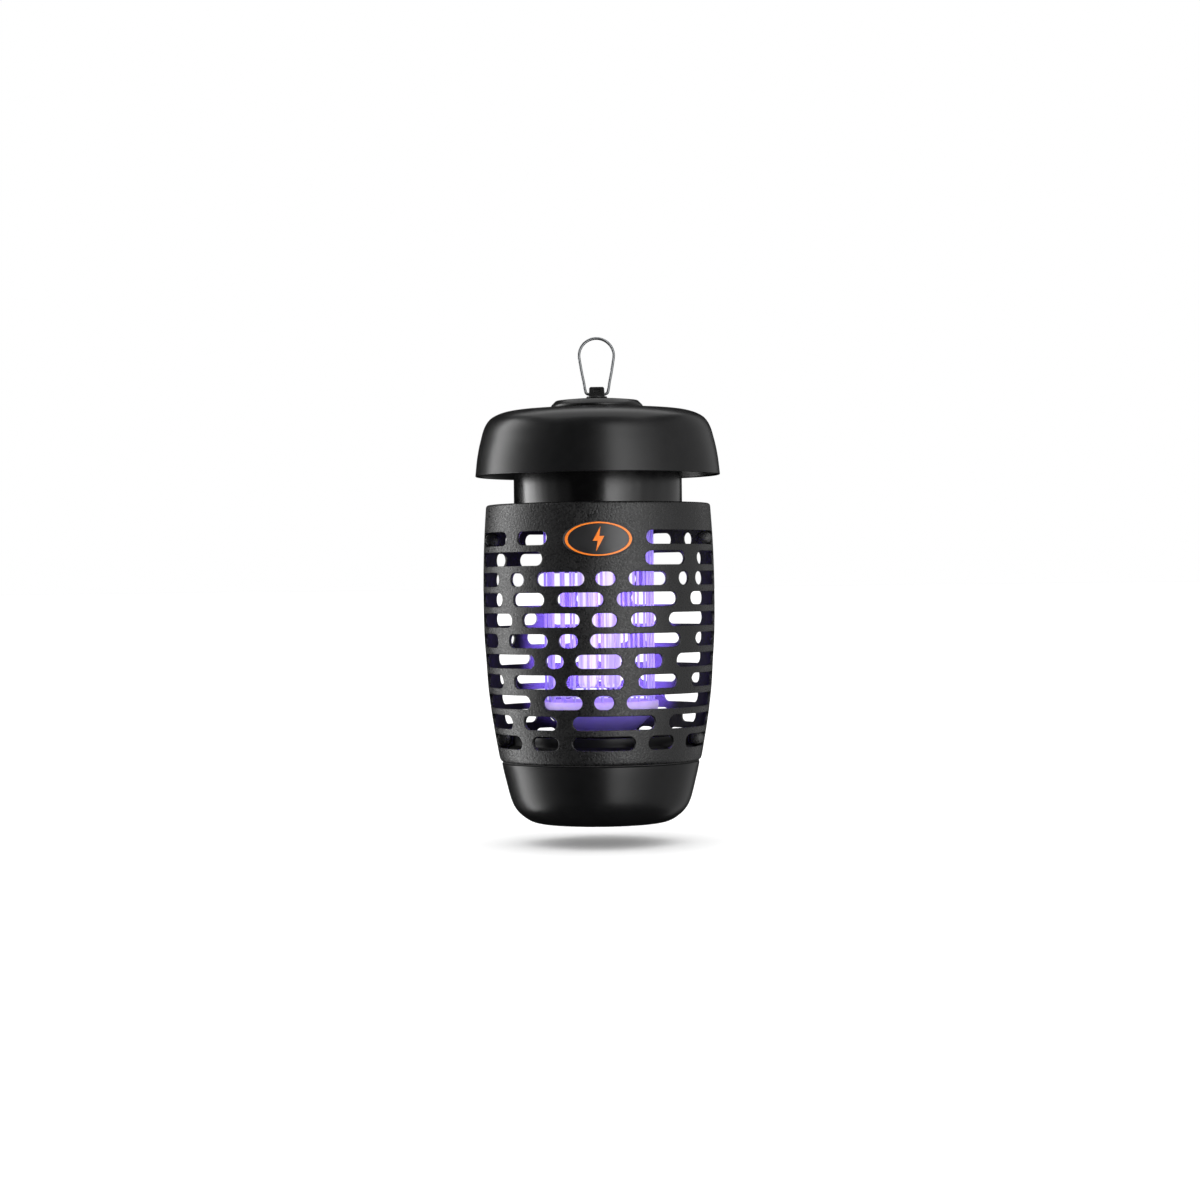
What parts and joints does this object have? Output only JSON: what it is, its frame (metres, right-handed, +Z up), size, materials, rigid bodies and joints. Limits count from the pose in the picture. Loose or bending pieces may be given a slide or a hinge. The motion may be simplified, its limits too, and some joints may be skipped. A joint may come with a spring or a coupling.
{
  "type": "electric bug zapper",
  "caption": "Hanging lantern-style electric bug zapper: domed hood on a neck, slotted guard round a lit wire grid, and a twist-off catch tray.",
  "frame": {"origin": "centre of the flat underside of the catch tray, where the zapper stands", "axes": "+Z up along the axis of the hood, guard and tray; front with the badge towards -Y; +X to the right seen from the front"},
  "size_m": [0.16, 0.16, 0.3172],
  "materials": {
    "hood_plastic": "satin moulded black",
    "neck_plastic": "gloss moulded black",
    "guard_plastic": "fine spark-eroded grain, black",
    "badge_black": "satin black plate with an orange rim",
    "badge_orange": "orange print",
    "loop_steel": "bright zinc-plated wire",
    "grid_steel": "bright drawn wire",
    "fastener_zinc": "zinc plated",
    "insulator_plastic": "dark heat-proof plastic",
    "black_rubber": "soft matt black",
    "lamp_glass": "coated tube, lit violet",
    "white_plastic": "white moulded",
    "board_green": "glass-fibre board",
    "film_yellow": "moulded case",
    "sleeve_blue": "shrunk sleeve",
    "tape_yellow": "wound tape",
    "lamination": "stacked steel laminations",
    "fuse_glass": "clear tube",
    "wire_red": "PVC insulation",
    "wire_black": "PVC insulation"
  },
  "bodies": {
    "housing": {"hood_shell": "hood_plastic", "top_cap": "hood_plastic", "loop_lug": "hood_plastic", "neck_housing": "neck_plastic", "guard_front": "guard_plastic", "guard_back": "guard_plastic", "badge_plate": "badge_black", "badge_bolt": "badge_orange", "live_grid": "grid_steel", "return_grid": "grid_steel", "lug_washer": "fastener_zinc", "lug_nut": "fastener_zinc", "hood_screw_1": "fastener_zinc", "hood_screw_2": "fastener_zinc", "hood_screw_3": "fastener_zinc", "board_screw_1": "fastener_zinc", "board_screw_2": "fastener_zinc", "board_screw_3": "fastener_zinc", "insulator_screw_1": "fastener_zinc", "insulator_screw_2": "fastener_zinc", "insulator_screw_3": "fastener_zinc", "socket_screw_left": "fastener_zinc", "socket_screw_right": "fastener_zinc", "guard_screw_upper_left": "fastener_zinc", "guard_screw_upper_right": "fastener_zinc", "guard_screw_lower_left": "fastener_zinc", "guard_screw_lower_right": "fastener_zinc", "upper_insulator": "insulator_plastic", "lower_insulator": "insulator_plastic", "cord_gland": "black_rubber", "lamp_tube": "lamp_glass", "lamp_base": "white_plastic", "lamp_socket": "white_plastic", "circuit_board": "board_green", "multiplier_capacitor_1": "film_yellow", "multiplier_capacitor_2": "film_yellow", "multiplier_capacitor_3": "film_yellow", "main_capacitor": "sleeve_blue", "choke_winding": "tape_yellow", "choke_core": "lamination", "fuse": "fuse_glass", "live_lead": "wire_red", "lamp_lead_right": "wire_red", "return_lead": "wire_black", "lamp_lead_left": "wire_black", "inlet_lead": "wire_black"},
    "loop": {"hang_loop": "loop_steel"},
    "seal": {"tray_seal": "black_rubber"},
    "tray": {"tray": "hood_plastic"}
  },
  "joints": [
    {"name": "loop_swing", "type": "hinge", "parent": "housing", "child": "loop", "pos_m": [0, 0, 0.2798], "axis": [1, 0, 0], "range_deg": [-95, 95]},
    {"name": "tray_drop", "type": "slide", "parent": "housing", "child": "seal", "axis": [0, 0, -1], "range_m": [0, 0.012]},
    {"name": "tray_twist", "type": "hinge", "parent": "seal", "child": "tray", "pos_m": [0, 0, 0.02], "axis": [0, 0, -1], "range_deg": [0, 90]}
  ],
  "couplings": [
    {"joint": "tray_drop", "follows": "tray_twist", "m_per_rad": 0.0076394}
  ]
}
